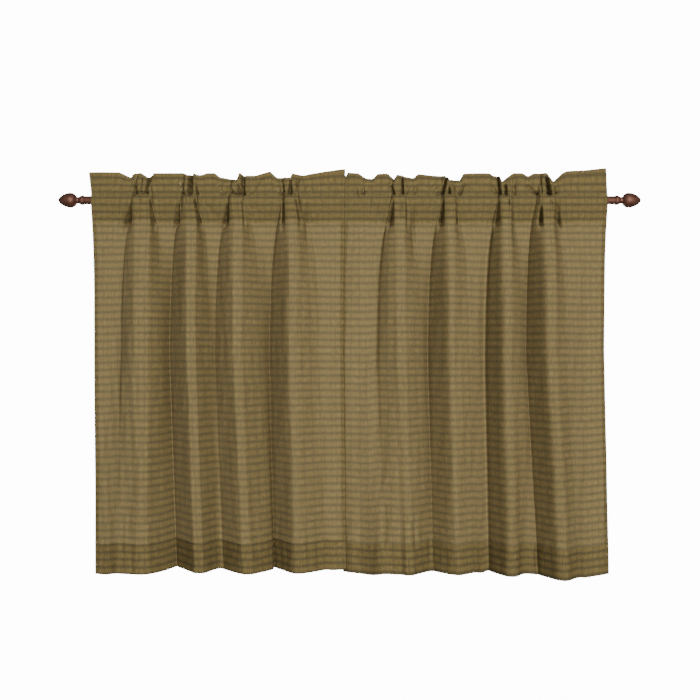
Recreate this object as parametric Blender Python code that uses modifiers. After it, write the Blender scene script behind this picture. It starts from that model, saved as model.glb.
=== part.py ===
"""Two tier curtain panels gathered on one plain rod with acorn finials.

Axes: +X along the rod, the cloth's face looks towards -Y, +Z up.
The origin is on the rod's axis, at the middle of its length.
Tables and lengths are in millimetres; meshes are made in metres.
"""
import math
from collections import namedtuple

import bmesh
import bpy
from mathutils import Vector

MM = 0.001

# Rod and finials.
ROD_RADIUS = 9.5
ROD_WALL = 1.2
ROD_HALF_LENGTH = 606.0
ROD_SEGMENTS = 32
SPIGOT_RADIUS = 8.0
SPIGOT_LENGTH = 16.0
PIECE_GAP = 0.3
COLLAR_RADIUS = 11.2
COLLAR_LENGTH = 13.6
NECK_RADIUS = 7.5
ACORN_START = 16.0
ACORN_WIDEST_AT = 31.0
ACORN_TIP = 59.3
ACORN_RADIUS = 17.2
ACORN_RINGS = 8

# Cloth: one length per panel, folded over itself at the heading and at the hem.
CLOTH_THICKNESS = 1.0
LAYER_SPACING = 1.8      # between the middles of two layers sewn together
STITCH_Z = 13.5          # the row of stitches that rests on the rod
SEAM_Z = -57.5           # the row of stitches under the rod
BODY_Z = -350.0          # where the folds have opened out fully
HEM_DEPTH = 77.0
OPENING_LENGTH = 95.0    # how quickly the gathers open into folds below the seam
HEAD_HALF = 16.0         # half the width of a gather above the rod
HEAD_WAVE = 9.0          # how far a gather stands forward above the rod
HOLLOW_GAP = 6.0         # from a crest's side to the hollow beside it, at the rod
SEAM_DRIFT = 0.45        # how far the folds have opened at the seam
STEPS_PER_SPAN = 2       # columns of faces between two neighbouring stations

# One row for each gather and the fold that hangs from it.
#   head, rod, body, hem   where it lies along X at those heights
#   half                   half the width of its crest at the rod
#   lift                   how far its crest stands in front of the cloth beside it, at the rod
#   left, left_y           the hollow on its left: distance from the crest, and depth
#   right, right_y         the foot of its right slope: distance from the crest, and depth
#   crest, crest_y         the rounded crest lower down: half its width, and depth
#   swing                  how much further forward the whole fold hangs at the hem
#   open                   share of its left hollow's depth that is lost by the hem
#   top, low               height of the cloth's top edge and bottom edge there
Fold = namedtuple(
    "Fold",
    "head rod body hem half lift left left_y right right_y crest crest_y swing open top low")
# A place between the folds where the cloth lies flat or ends.
Flat = namedtuple("Flat", "head rod body hem head_y rod_y body_y hem_y top low")

LEFT_PANEL = (
    Flat(-595, -588, -584, -577, 0, 0, 6, -14, 65, -849),
    Flat(-560, -558, -556, -548, -2, 0, 4, -28, 65, -848),
    Fold(-469, -468, -468, -466, 21, 13, 58, -2, 41, -12, 14, -50, -6, 0.80, 57, -843),
    Fold(-363, -360, -354, -336, 15, 14, 62, 27, 36, -8, 8, -58, 4, 0.05, 63, -840),
    Fold(-254, -255, -250, -228, 13, 13, 60, 10, 50, -10, 8, -63, 4, 0.15, 50, -842),
    Fold(-140, -130, -126, -113, 14, 16, 60, 26, 58, -16, 8, -58, -2, 0.10, 53, -840),
    Flat(-50, -50, -44, -40, -2, 0, -4, -14, 70, -841),
    Flat(-10, -12.2, -13, -7, 1, 0, 4, -6, 74, -841),
)
RIGHT_PANEL = (
    Flat(-9, -11.4, -17, -15, 6, 0, 16, 12, 60, -849),
    Flat(12, 12, 4, 6, 3, 0, 6, -4, 66, -849),
    Flat(31, 32, 37, 46, 3, 0, 3, -22, 51, -850),
    Fold(113, 113, 116, 132, 13, 14, 58, 7, 47, -5, 8, -46, -12, 0.80, 57, -844),
    Fold(226, 228, 231, 243, 11, 14, 52, 30, 40, -22, 6, -51, -2, 0.40, 47, -845),
    Flat(290, 290, 294, 300, -2, 0, 0, -6, 66, -849),
    Fold(349, 355, 354, 362, 12, 14, 45, 16, 34, -28, 7, -60, -4, 0.10, 54, -846),
    Fold(454, 449, 449, 475, 16, 14, 47, 2, 42, -42, 8, -76, -6, 0.15, 48, -851),
    Flat(532, 532, 535, 534, -2, 0, -16, -36, 70, -853),
    Flat(586, 587, 581, 588, 0, 0, -2, -20, 74, -848),
)

# Rows down the pocket, from the stitches over the rod to the seam under it.
#   z           height
#   fore, aft   depth of the front layer and of the back layer
#   front       share of a crest's lift that the front layer takes
#   back        the same for the back layer; below zero the crest points backwards
Ring = namedtuple("Ring", "z fore aft front back")
POCKET_ROWS = (
    Ring(STITCH_Z, -7.0, -7.0, 0.75, 0.75),
    Ring(11.8, -8.6, 2.5, 0.80, 0.20),
    Ring(8.2, -10.0, 8.4, 0.86, -0.20),
    Ring(0.0, -11.6, 11.6, 0.95, -0.35),
    Ring(-14.0, -10.2, 10.2, 1.00, -0.15),
    Ring(-36.0, -4.8, 4.8, 1.05, 0.55),
    Ring(SEAM_Z, 0.0, 0.0, 1.15, 1.15),
)
HEADING_SHARES = (0.5,)
BODY_SHARES = (0.05, 0.13, 0.25, 0.41, 0.60, 0.80)


def clear_scene():
    for old in list(bpy.data.objects):
        bpy.data.objects.remove(old, do_unlink=True)


def make_material(name, colour, roughness, metallic):
    material = bpy.data.materials.new(name)
    material.use_nodes = True
    shader = material.node_tree.nodes["Principled BSDF"]
    shader.inputs["Base Color"].default_value = (*colour, 1.0)
    shader.inputs["Roughness"].default_value = roughness
    shader.inputs["Metallic"].default_value = metallic
    return material


def add_object(name, mesh, material, collection):
    obj = bpy.data.objects.new(name, mesh)
    obj.data.materials.append(material)
    collection.objects.link(obj)
    return obj


# ---------------------------------------------------------------- turned pieces

def turned(name, profile, material, collection, closed_loop=False):
    """Turn a profile of (radius, height) points round the local Z axis."""
    bm = bmesh.new()
    points = [bm.verts.new((radius * MM, 0.0, height * MM)) for radius, height in profile]
    for start, end in zip(points, points[1:]):
        bm.edges.new((start, end))
    if closed_loop:
        bm.edges.new((points[-1], points[0]))
    mesh = bpy.data.meshes.new(name)
    bm.to_mesh(mesh)
    bm.free()
    obj = add_object(name, mesh, material, collection)
    screw = obj.modifiers.new("turn", 'SCREW')
    screw.axis = 'Z'
    screw.steps = ROD_SEGMENTS
    screw.render_steps = ROD_SEGMENTS
    screw.use_merge_vertices = True
    screw.merge_threshold = 0.00001
    screw.use_smooth_shade = True
    return obj


def rod_profile():
    """Section of the tube's wall, down its outer side and back up its bore."""
    inner = ROD_RADIUS - ROD_WALL
    return [
        (ROD_RADIUS, ROD_HALF_LENGTH),
        (ROD_RADIUS, -ROD_HALF_LENGTH),
        (inner, -ROD_HALF_LENGTH),
        (inner, ROD_HALF_LENGTH),
    ]


def acorn_radius(height):
    """Round towards the neck, longer and more pointed towards the tip."""
    if height < ACORN_WIDEST_AT:
        share = (ACORN_WIDEST_AT - height) / (ACORN_WIDEST_AT - ACORN_START + 1.0)
        return ACORN_RADIUS * math.sqrt(1.0 - share ** 2)
    share = (height - ACORN_WIDEST_AT) / (ACORN_TIP - ACORN_WIDEST_AT)
    return ACORN_RADIUS * (1.0 - share ** 1.7) ** 0.62


def finial_profile():
    """Outline of a finial from its tip down to the spigot inside the rod.

    Heights are measured from the end of the rod.
    """
    outline = [(0.0, ACORN_TIP)]
    for step in range(1, ACORN_RINGS):
        turn = math.pi / 2 * step / ACORN_RINGS
        height = ACORN_TIP - (ACORN_TIP - ACORN_WIDEST_AT) * (1.0 - math.cos(turn))
        outline.append((acorn_radius(height), height))
    for step in range(ACORN_RINGS // 2 + 1):
        turn = math.pi / 2 * step / (ACORN_RINGS // 2)
        height = ACORN_WIDEST_AT - (ACORN_WIDEST_AT - ACORN_START) * math.sin(turn)
        outline.append((max(NECK_RADIUS, acorn_radius(height)), height))
    outline += [
        (NECK_RADIUS, COLLAR_LENGTH),
        (8.6, 10.6),
        (10.6, 6.4),
        (COLLAR_RADIUS, 4.2),
        (COLLAR_RADIUS, 2.2),
        (ROD_RADIUS + 0.6, PIECE_GAP),
        (SPIGOT_RADIUS, PIECE_GAP),
        (SPIGOT_RADIUS, -SPIGOT_LENGTH),
        (0.0, -SPIGOT_LENGTH),
    ]
    return outline


def make_rod(material, collection):
    rod = turned("rod", rod_profile(), material, collection, closed_loop=True)
    rod.rotation_euler = (0.0, math.radians(90), 0.0)
    return rod


def make_finial(name, side, material, collection):
    """side is -1 for the left end of the rod and 1 for the right end."""
    finial = turned(name, finial_profile(), material, collection)
    finial.rotation_euler = (0.0, math.radians(90) * side, 0.0)
    finial.location = (side * ROD_HALF_LENGTH * MM, 0.0, 0.0)
    return finial


# ---------------------------------------------------------------- cloth

Station = namedtuple("Station", "head rod seam body hem lift top low")


def fold_stations(fold):
    """The four stations of a fold: hollow, two sides of the crest, foot of the slope."""
    half = fold.half
    lost = fold.open * (fold.crest_y - fold.left_y)
    # at the head, at the rod, in the body, crest share, depth in the body, depth lost by the hem
    places = (
        (-HEAD_HALF, -half - HOLLOW_GAP, -fold.left, 0.0, fold.left_y, lost),
        (-0.3 * HEAD_HALF, -0.75 * half, -fold.crest, 1.0, fold.crest_y, 0.0),
        (0.3 * HEAD_HALF, 0.75 * half, fold.crest, 1.0, fold.crest_y, 0.0),
        (HEAD_HALF, half + HOLLOW_GAP, fold.right, 0.0, fold.right_y, 0.0),
    )
    stations = []
    for at_head, at_rod, at_body, crest, depth, lost in places:
        wave = HEAD_WAVE * (0.6 - crest)
        stations.append(Station(
            head=(fold.head + at_head, wave),
            rod=(fold.rod + at_rod, 0.0),
            seam=(
                fold.rod + at_rod + SEAM_DRIFT * (fold.body + at_body - fold.rod - at_rod),
                7.0 * (1.0 - crest) - fold.lift * 0.65 * crest),
            body=(fold.body + at_body, depth),
            hem=(fold.hem + at_body, depth + lost + fold.swing),
            lift=fold.lift * crest,
            top=fold.top if crest else max(fold.top, 64.0),
            low=fold.low,
        ))
    return stations


def flat_station(flat):
    return Station(
        head=(flat.head, flat.head_y),
        rod=(flat.rod, flat.rod_y),
        seam=(flat.rod, flat.rod_y + 1.0),
        body=(flat.body, flat.body_y),
        hem=(flat.hem, flat.hem_y),
        lift=0.0,
        top=flat.top,
        low=flat.low,
    )


def panel_stations(rows):
    stations = []
    for row in rows:
        if isinstance(row, Fold):
            stations += fold_stations(row)
        else:
            stations.append(flat_station(row))
    return stations


def smooth_value(values, t):
    """Catmull-Rom curve through evenly numbered values, at a fractional number t."""
    last = len(values) - 1
    index = min(int(t), last - 1)
    u = t - index
    p0 = values[max(index - 1, 0)]
    p1 = values[index]
    p2 = values[index + 1]
    p3 = values[min(index + 2, last)]
    bend = 2 * p0 - 5 * p1 + 4 * p2 - p3
    turn = 3 * (p1 - p2) + p3 - p0
    return p1 + 0.5 * u * ((p2 - p0) + u * (bend + u * turn))


class Plan:
    """The panel's course along the rod, at any station number and height."""

    def __init__(self, rows):
        self.stations = panel_stations(rows)
        self.count = len(self.stations)

    def value(self, name, t, axis=None):
        values = [getattr(station, name) for station in self.stations]
        if axis is not None:
            values = [value[axis] for value in values]
        return smooth_value(values, t)

    def lift(self, t):
        return max(0.0, self.value("lift", t))

    def point(self, level, t):
        return Vector((self.value(level, t, 0), self.value(level, t, 1)))

    def heading(self, t, share):
        """Above the rod: share 0 at the stitches, 1 at the top edge."""
        low = self.point("rod", t)
        low.y += POCKET_ROWS[0].fore - POCKET_ROWS[0].front * self.lift(t)
        return low.lerp(self.point("head", t), share)

    def hanging(self, t, z):
        """Below the seam, the gathers open into folds, which drift towards the hem."""
        seam = self.point("seam", t)
        seam.y -= POCKET_ROWS[-1].front * self.lift(t)
        opened = 1.0 - math.exp((z - SEAM_Z) / OPENING_LENGTH)
        low = self.value("low", t)
        fallen = max(0.0, (BODY_Z - z) / (BODY_Z - low))
        body = self.point("body", t).lerp(self.point("hem", t), fallen)
        return seam.lerp(body, opened)


def offset(course, t, last, distance):
    """A point beside a course, square to it; a positive distance is in front (-Y)."""
    step = 0.05
    before = course(max(t - step, 0.0))
    after = course(min(t + step, last))
    along = (after - before).normalized()
    here = course(t)
    return Vector((here.x + along.y * distance, here.y - along.x * distance))


def heading_rows(plan, t, last):
    """Up the back of the heading, over its top fold and down its front."""
    top = plan.value("top", t)
    half = LAYER_SPACING / 2
    rows = []
    for side in (-1.0, 1.0):
        leg = []
        for share in HEADING_SHARES + (1.0,):
            flat = offset(lambda s: plan.heading(s, share), t, last, side * half)
            leg.append(Vector((flat.x, flat.y, STITCH_Z + share * (top - half - STITCH_Z))))
        rows += leg if side < 0 else reversed(leg)
        if side < 0:
            ridge = plan.heading(t, 1.0)
            rows.append(Vector((ridge.x, ridge.y, top)))
    return rows


def pocket_rows(plan, t, last, side):
    """One layer of the rod pocket, from its stitches down to its seam."""
    lift = plan.lift(t)
    rows = []
    for ring in POCKET_ROWS:
        if ring.z in (STITCH_Z, SEAM_Z):
            # The layers are sewn together here, so they lie side by side.
            level = plan.heading if ring.z > 0 else plan.hanging
            height = 0.0 if ring.z > 0 else SEAM_Z
            flat = offset(lambda s: level(s, height), t, last, side * LAYER_SPACING / 2)
            rows.append(Vector((flat.x, flat.y, ring.z)))
            continue
        down = (STITCH_Z - ring.z) / (STITCH_Z - SEAM_Z)
        rod = plan.point("rod", t)
        drift = plan.point("seam", t) - rod
        middle = rod.y + drift.y * down ** 2
        if side > 0:
            depth = middle + ring.fore - ring.front * lift
        else:
            depth = middle + ring.aft - ring.back * lift
        rows.append(Vector((rod.x + drift.x * down, depth, ring.z)))
    return rows


def hanging_rows(plan, t, last):
    """Down the front below the seam, round the hem's fold and up its back."""
    low = plan.value("low", t)
    hem_z = low + HEM_DEPTH
    half = LAYER_SPACING / 2
    rows = []
    for share in BODY_SHARES:
        z = SEAM_Z + share * (hem_z - SEAM_Z)
        flat = offset(lambda s: plan.hanging(s, z), t, last, half)
        rows.append(Vector((flat.x, flat.y, z)))
    heights = (hem_z, low + half)
    for side, leg in ((1.0, heights), (-1.0, reversed(heights))):
        for z in leg:
            flat = offset(lambda s: plan.hanging(s, z), t, last, side * half)
            rows.append(Vector((flat.x, flat.y, z)))
        if side > 0:
            fold = plan.hanging(t, low)
            rows.append(Vector((fold.x, fold.y, low)))
    return rows


def cloth_column(plan, t):
    """One line of points down the whole cloth, from the back of the pocket to the hem."""
    last = plan.count - 1
    back = list(reversed(pocket_rows(plan, t, last, -1.0)))
    front = pocket_rows(plan, t, last, 1.0)
    return back + heading_rows(plan, t, last) + front + hanging_rows(plan, t, last)


def make_panel(name, rows, material, collection):
    """A grid laid along the cloth's course, then given the cloth's thickness."""
    plan = Plan(rows)
    across = (plan.count - 1) * STEPS_PER_SPAN
    columns = [cloth_column(plan, i / STEPS_PER_SPAN) for i in range(across + 1)]
    down = len(columns[0]) - 1
    bm = bmesh.new()
    bmesh.ops.create_grid(bm, x_segments=across, y_segments=down, size=0.5)
    for vert in bm.verts:
        column = round((vert.co.x + 0.5) * across)
        row = round((0.5 - vert.co.y) * down)
        vert.co = columns[column][row] * MM
    for face in bm.faces:
        face.smooth = True
    mesh = bpy.data.meshes.new(name)
    bm.to_mesh(mesh)
    bm.free()
    panel = add_object(name, mesh, material, collection)
    solid = panel.modifiers.new("cloth thickness", 'SOLIDIFY')
    solid.thickness = CLOTH_THICKNESS * MM
    solid.offset = 0.0
    solid.use_even_offset = True
    return panel


def main():
    clear_scene()
    collection = bpy.data.collections.new("tier_curtain")
    bpy.context.scene.collection.children.link(collection)
    cloth = make_material("woven_cotton", (0.216, 0.162, 0.068), 0.9, 0.0)
    bronze = make_material("bronze_painted_steel", (0.090, 0.032, 0.020), 0.4, 0.6)
    turned_bronze = make_material("bronze_painted_resin", (0.080, 0.026, 0.016), 0.35, 0.5)
    make_rod(bronze, collection)
    make_finial("finial_left", -1, turned_bronze, collection)
    make_finial("finial_right", 1, turned_bronze, collection)
    make_panel("panel_left", LEFT_PANEL, cloth, collection)
    make_panel("panel_right", RIGHT_PANEL, cloth, collection)


main()
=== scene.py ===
"""Tier curtains in small-check cotton, gathered on a plain rod with acorn finials.

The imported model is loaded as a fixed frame, and each visible piece is made
around it. Axes: +X along the rod, the cloth's face looks towards -Y, +Z up,
and the origin is on the rod's axis. Tables are in millimetres.
"""
import math
from collections import namedtuple

import bpy
import numpy as np
from bpy.props import FloatProperty, PointerProperty, StringProperty
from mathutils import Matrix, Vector


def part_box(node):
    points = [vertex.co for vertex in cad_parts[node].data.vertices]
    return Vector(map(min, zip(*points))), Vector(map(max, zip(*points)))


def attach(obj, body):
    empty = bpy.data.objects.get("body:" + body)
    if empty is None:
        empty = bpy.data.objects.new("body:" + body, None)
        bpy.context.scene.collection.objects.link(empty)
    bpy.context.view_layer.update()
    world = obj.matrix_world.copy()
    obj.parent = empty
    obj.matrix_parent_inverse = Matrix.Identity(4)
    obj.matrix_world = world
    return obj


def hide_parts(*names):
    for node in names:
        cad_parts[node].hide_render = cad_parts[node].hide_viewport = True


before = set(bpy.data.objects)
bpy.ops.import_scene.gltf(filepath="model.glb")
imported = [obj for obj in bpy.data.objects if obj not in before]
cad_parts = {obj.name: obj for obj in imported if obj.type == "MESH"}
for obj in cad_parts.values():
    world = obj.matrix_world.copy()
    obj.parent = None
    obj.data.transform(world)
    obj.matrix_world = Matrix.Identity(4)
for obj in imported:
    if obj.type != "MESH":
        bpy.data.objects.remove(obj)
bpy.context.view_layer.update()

bl_info = {
    "name": "Tier Curtain",
    "version": (1, 0, 0),
    "blender": (4, 5, 0),
    "location": "View3D > Sidebar > Curtain",
    "description": "Gathered rod-pocket tier curtains on a plain rod",
    "category": "Add Mesh",
}

MM = 0.001

# Heights of the sewn lines and of the measured levels.
HEADING_Z = 64.0         # top of the heading where nothing pulls it down
STITCH_Z = 13.5          # stitches that close the pocket above the rod
SEAM_Z = -57.5           # stitches that close the pocket below the rod
BODY_Z = -350.0          # where the folds have opened out fully
OPENING_LENGTH = 95.0    # how quickly the gathers open into folds below the seam
HEAD_HALF = 16.0         # half the width of a gather above the rod
HEAD_WAVE = 9.0          # how far a gather stands forward above the rod
HOLLOW_GAP = 6.0         # from a crest's side to the hollow beside it, at the rod
SEAM_DRIFT = 0.45        # how far the folds have opened at the seam
SEAM_BACK = 7.0          # how far the hollows lie back at the seam
SEAM_LIFT = 0.65         # share of a crest's lift that is left at the seam
DIP_FADE = 2.2           # how quickly the dips of the top edge fade below it
SHOULDER = 7.0           # from a crest's edge to where its side turns down, and its drop there
FLANK_ACROSS = 0.30      # a flank is steeper near its valley: this share of its width ...
FLANK_UP = 0.34          # ... takes this share of its height
ROD_CLEAR = 10.4         # radius that the pocket keeps clear round the rod

# One row for each gather and the fold that hangs from it.
#   head, rod, body, hem   where it lies along X at those heights
#   half                   half the width of its crest at the rod
#   lift                   how far its crest stands in front of the cloth beside it, at the rod
#   left, left_y           the hollow on its left: distance from the crest, and depth
#   right, right_y         the foot of its right slope: distance from the crest, and depth
#   crest, crest_y         the rounded crest lower down: half its width, and depth
#   swing                  how much further forward the whole fold hangs at the hem
#   open                   share of its left hollow's depth that is lost by the hem
#   low                    height of the cloth's bottom edge there
Fold = namedtuple(
    "Fold",
    "head rod body hem half lift left left_y right right_y crest crest_y swing open low")
# A place between the folds where the cloth lies flat or ends.
Flat = namedtuple("Flat", "head rod body hem head_y rod_y body_y hem_y low")

LEFT_PANEL = (
    Flat(-595, -588, -584, -577, 0, 0, 6, -14, -849),
    Flat(-560, -558, -556, -548, -2, 0, 4, -28, -848),
    Fold(-469, -468, -468, -466, 21, 13, 58, -2, 41, -12, 14, -50, -6, 0.80, -843),
    Fold(-363, -360, -354, -336, 15, 14, 62, 27, 36, -8, 8, -58, 4, 0.05, -840),
    Fold(-254, -255, -250, -228, 13, 13, 60, 10, 50, -10, 8, -63, 4, 0.15, -842),
    Fold(-140, -130, -126, -113, 14, 16, 60, 26, 58, -16, 8, -58, -2, 0.10, -840),
    Flat(-50, -50, -44, -40, -2, 0, -4, -14, -841),
    Flat(-10, -11.0, -13, -7, 1, -1.2, 4, -6, -841),
)
RIGHT_PANEL = (
    Flat(-11, -12.5, -17, -15, 6, 1.2, 16, 12, -849),
    Flat(12, 12, 4, 6, 3, 0, 6, -4, -849),
    Flat(31, 32, 37, 46, 3, 0, 3, -22, -850),
    Fold(113, 113, 116, 132, 13, 14, 58, 7, 47, -5, 8, -46, -12, 0.80, -844),
    Fold(226, 228, 231, 243, 11, 14, 52, 30, 40, -22, 6, -51, -2, 0.40, -845),
    Flat(290, 290, 294, 300, -2, 0, 0, -6, -849),
    Fold(349, 355, 354, 362, 12, 14, 45, 16, 34, -28, 7, -60, -4, 0.10, -846),
    Fold(454, 449, 449, 475, 16, 14, 47, 2, 42, -42, 8, -76, -6, 0.15, -851),
    Flat(532, 532, 535, 534, -2, 0, -16, -36, -853),
    Flat(586, 587, 581, 588, 0, 0, -2, -20, -848),
)

# The top edge of each panel, rising and dropping where the gathers lap.
Edge = namedtuple("Edge", "x z")
LEFT_TOP = (
    Edge(-600, 64), Edge(-525, 64), Edge(-500, 52), Edge(-494, 62), Edge(-476, 62),
    Edge(-460, 52), Edge(-454, 63), Edge(-380, 63), Edge(-370, 57), Edge(-360, 62),
    Edge(-342, 58), Edge(-325, 63), Edge(-308, 63), Edge(-298, 54), Edge(-258, 46),
    Edge(-252, 62), Edge(-240, 57), Edge(-216, 57), Edge(-182, 67), Edge(-166, 52),
    Edge(-136, 51), Edge(-130, 62), Edge(-106, 57), Edge(-85, 61), Edge(-8, 72),
)
RIGHT_TOP = (
    Edge(-8, 56), Edge(-4, 64), Edge(20, 62), Edge(38, 50), Edge(53, 49), Edge(64, 61),
    Edge(87, 62), Edge(102, 48), Edge(108, 58), Edge(146, 51), Edge(157, 61),
    Edge(190, 57), Edge(224, 55), Edge(228, 46), Edge(252, 46), Edge(260, 61),
    Edge(320, 62), Edge(330, 56), Edge(342, 56), Edge(348, 42), Edge(362, 54),
    Edge(375, 63), Edge(396, 63), Edge(408, 55), Edge(420, 62), Edge(450, 62),
    Edge(465, 42), Edge(486, 62), Edge(497, 67), Edge(535, 68), Edge(590, 74),
)

# Rows down the pocket, from the stitches over the rod to the seam under it.
#   z           height
#   fore, aft   depth of the front layer and of the back layer
#   front       share of a crest's lift that the front layer takes
#   back        the same for the back layer; below zero the crest points backwards
Ring = namedtuple("Ring", "z fore aft front back")
POCKET_ROWS = (
    Ring(STITCH_Z, -7.0, -7.0, 0.75, 0.75),
    Ring(11.8, -8.6, 2.5, 0.80, 0.20),
    Ring(8.2, -10.0, 8.4, 0.86, -0.20),
    Ring(0.0, -11.6, 11.6, 0.95, -0.35),
    Ring(-14.0, -10.2, 10.2, 1.00, -0.15),
    Ring(-36.0, -4.8, 4.8, 1.05, 0.55),
    Ring(SEAM_Z, 0.0, 0.0, 1.15, 1.15),
)

# Creases pressed into the gathered cloth: a trough from one point to another,
# half its width at each end, and how steep its walls are.
Crease = namedtuple("Crease", "x z half to_x to_z to_half steep")
LEFT_CREASES = [Crease(*row) for row in (
    # first gather
    (-488, 54, 2.5, -488, 14, 6.0, 4.0),
    (-471, 50, 1.8, -474, 17, 2.3, 4.0),
    (-454, 62, 4.0, -463, 15, 3.6, 5.0),
    (-482, 15, 2.8, -458, 15, 2.8, 4.0),
    (-496, -6, 1.8, -507, -54, 11.0, 2.6),
    (-452, -1, 2.0, -446, -54, 4.6, 5.0),
    (-474, -2, 2.0, -473, -6, 2.0, 4.0),
    # second gather
    (-375, 13, 3.0, -374, 11, 3.0, 5.0),
    (-386, 46, 2.0, -380, 15, 3.2, 5.0),
    (-362, 64, 5.0, -363, 13, 6.0, 5.0),
    (-349, 30, 1.8, -346, 13, 3.0, 5.0),
    (-390, -9, 2.5, -395, -54, 8.0, 2.6),
    (-381, -7, 2.0, -382, -22, 2.0, 4.0),
    (-351, -2, 2.2, -341, -54, 4.6, 6.0),
    (-371, -2, 1.8, -370, -5, 1.8, 4.0),
    (-330, -7, 2.5, -298, -42, 3.0, 1.2),
    # third gather
    (-300, 33, 2.4, -286, 12, 3.4, 3.0),
    (-281, 32, 2.0, -281, 16, 2.5, 2.0),
    (-268, 22, 2.5, -267, 17, 4.0, 5.0),
    (-254, 32, 2.6, -248, 14, 4.6, 4.0),
    (-262, 13, 2.5, -238, 11, 2.8, 4.0),
    (-243, 56, 4.5, -243, 15, 5.5, 3.2),
    (-226, 15, 1.8, -226, 12, 2.2, 4.0),
    (-203, 50, 3.0, -223, 16, 3.0, 1.8),
    (-276, -3, 2.5, -284, -54, 9.0, 3.2),
    (-243, -7, 2.4, -239, -54, 3.6, 3.0),
    # fourth gather
    (-166, 33, 2.4, -157, 12, 3.6, 4.0),
    (-151, 33, 1.8, -153, 13, 2.6, 4.0),
    (-135, 43, 2.4, -135, 13, 5.8, 4.0),
    (-117, 50, 4.0, -121, 24, 2.6, 2.6),
    (-99, 36, 2.6, -106, 19, 2.6, 2.0),
    (-151, -6, 2.2, -151, -56, 3.6, 7.0),
    (-122, -3, 1.8, -113, -55, 3.2, 5.0),
    (-110, -6, 1.8, -108, -20, 1.8, 3.0),
    (-99, -10, 3.0, -97, -90, 5.0, 1.5),
)]
RIGHT_CREASES = [Crease(*row) for row in (
    # slack gather near the inner edge
    (31, 22, 3.6, 31, 17, 4.2, 4.5),
    (15, 28, 2.4, 22, -4, 3.4, 1.8),
    (47, -3, 2.0, 68, -36, 2.6, 2.4),
    # first full gather
    (93, 38, 2.6, 101, 12, 3.6, 4.5),
    (121, 49, 3.0, 121, 14, 3.8, 6.0),
    (136, 33, 2.0, 130, 15, 2.6, 4.0),
    (152, 31, 3.0, 147, 15, 3.4, 3.0),
    (99, -7, 2.5, 90, -60, 9.0, 3.0),
    (117, -15, 2.0, 118, -19, 2.0, 4.0),
    (131, -20, 1.8, 131, -56, 2.6, 2.6),
    (145, -20, 3.0, 145, -105, 5.5, 2.0),
    # second gather
    (191, 35, 2.6, 201, 12, 3.6, 4.5),
    (223, 56, 3.0, 211, 14, 4.0, 6.0),
    (227, 27, 2.4, 227, 15, 4.0, 6.0),
    (239, 29, 2.6, 239, 22, 2.6, 3.0),
    (262, 36, 2.6, 250, 12, 4.0, 4.0),
    (212, -5, 3.0, 207, -60, 7.0, 4.0),
    (245, -34, 1.8, 245, -57, 3.2, 7.0),
    # third gather
    (323, 34, 3.0, 337, 12, 4.4, 3.0),
    (339, 56, 3.0, 342, 12, 3.4, 5.5),
    (355, 33, 3.0, 355, 10, 4.0, 6.0),
    (376, 48, 3.4, 376, 12, 4.0, 3.4),
    (338, -6, 2.5, 334, -56, 9.0, 2.6),
    (360, -2, 2.0, 362, -14, 2.0, 4.0),
    # fourth gather
    (404, 34, 3.0, 426, 13, 4.4, 4.0),
    (436, 48, 1.8, 437, 15, 2.2, 3.5),
    (450, 50, 4.0, 454, 13, 6.0, 6.0),
    (470, 27, 3.0, 470, 17, 4.0, 5.0),
    (477, 40, 2.0, 477, 20, 3.0, 2.0),
    (434, -20, 3.0, 434, -56, 5.0, 6.0),
    (456, -6, 2.0, 461, -19, 2.0, 4.0),
    (473, -6, 2.2, 480, -55, 4.2, 6.0),
    # puckers where the hem drags
    (79, -700, 7.0, 79, -772, 8.0, 0.6),
    (146, -735, 6.0, 146, -780, 7.0, 0.7),
    (182, -770, 8.0, 182, -822, 8.0, 0.5),
    (424, -790, 7.0, 424, -833, 7.0, 0.7),
)]
CREASE_SPREAD = 1.15     # all of these creases, made a little wider ...
CREASE_STEEPNESS = 1.12  # ... and their walls a little steeper
ROUNDING = 0.25          # how softly a crease's walls turn into its shoulders
CREASE_FADE = 2.5        # how quickly a crease ends at a sewn line
# Sewn lines that end the creases above them. The last one lies below all of the cloth.
HOLDING_LINES = (STITCH_Z - 2.0, SEAM_Z, -1000.0)


def linear(code):
    """An sRGB colour such as #8a7a50, as the linear numbers and opacity that a shader takes."""
    shares = [int(code[i:i + 2], 16) / 255 for i in (1, 3, 5)]
    return (*(s / 12.92 if s <= 0.04045 else ((s + 0.055) / 1.055) ** 2.4 for s in shares), 1.0)


# ---------------------------------------------------------------- settings

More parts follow.
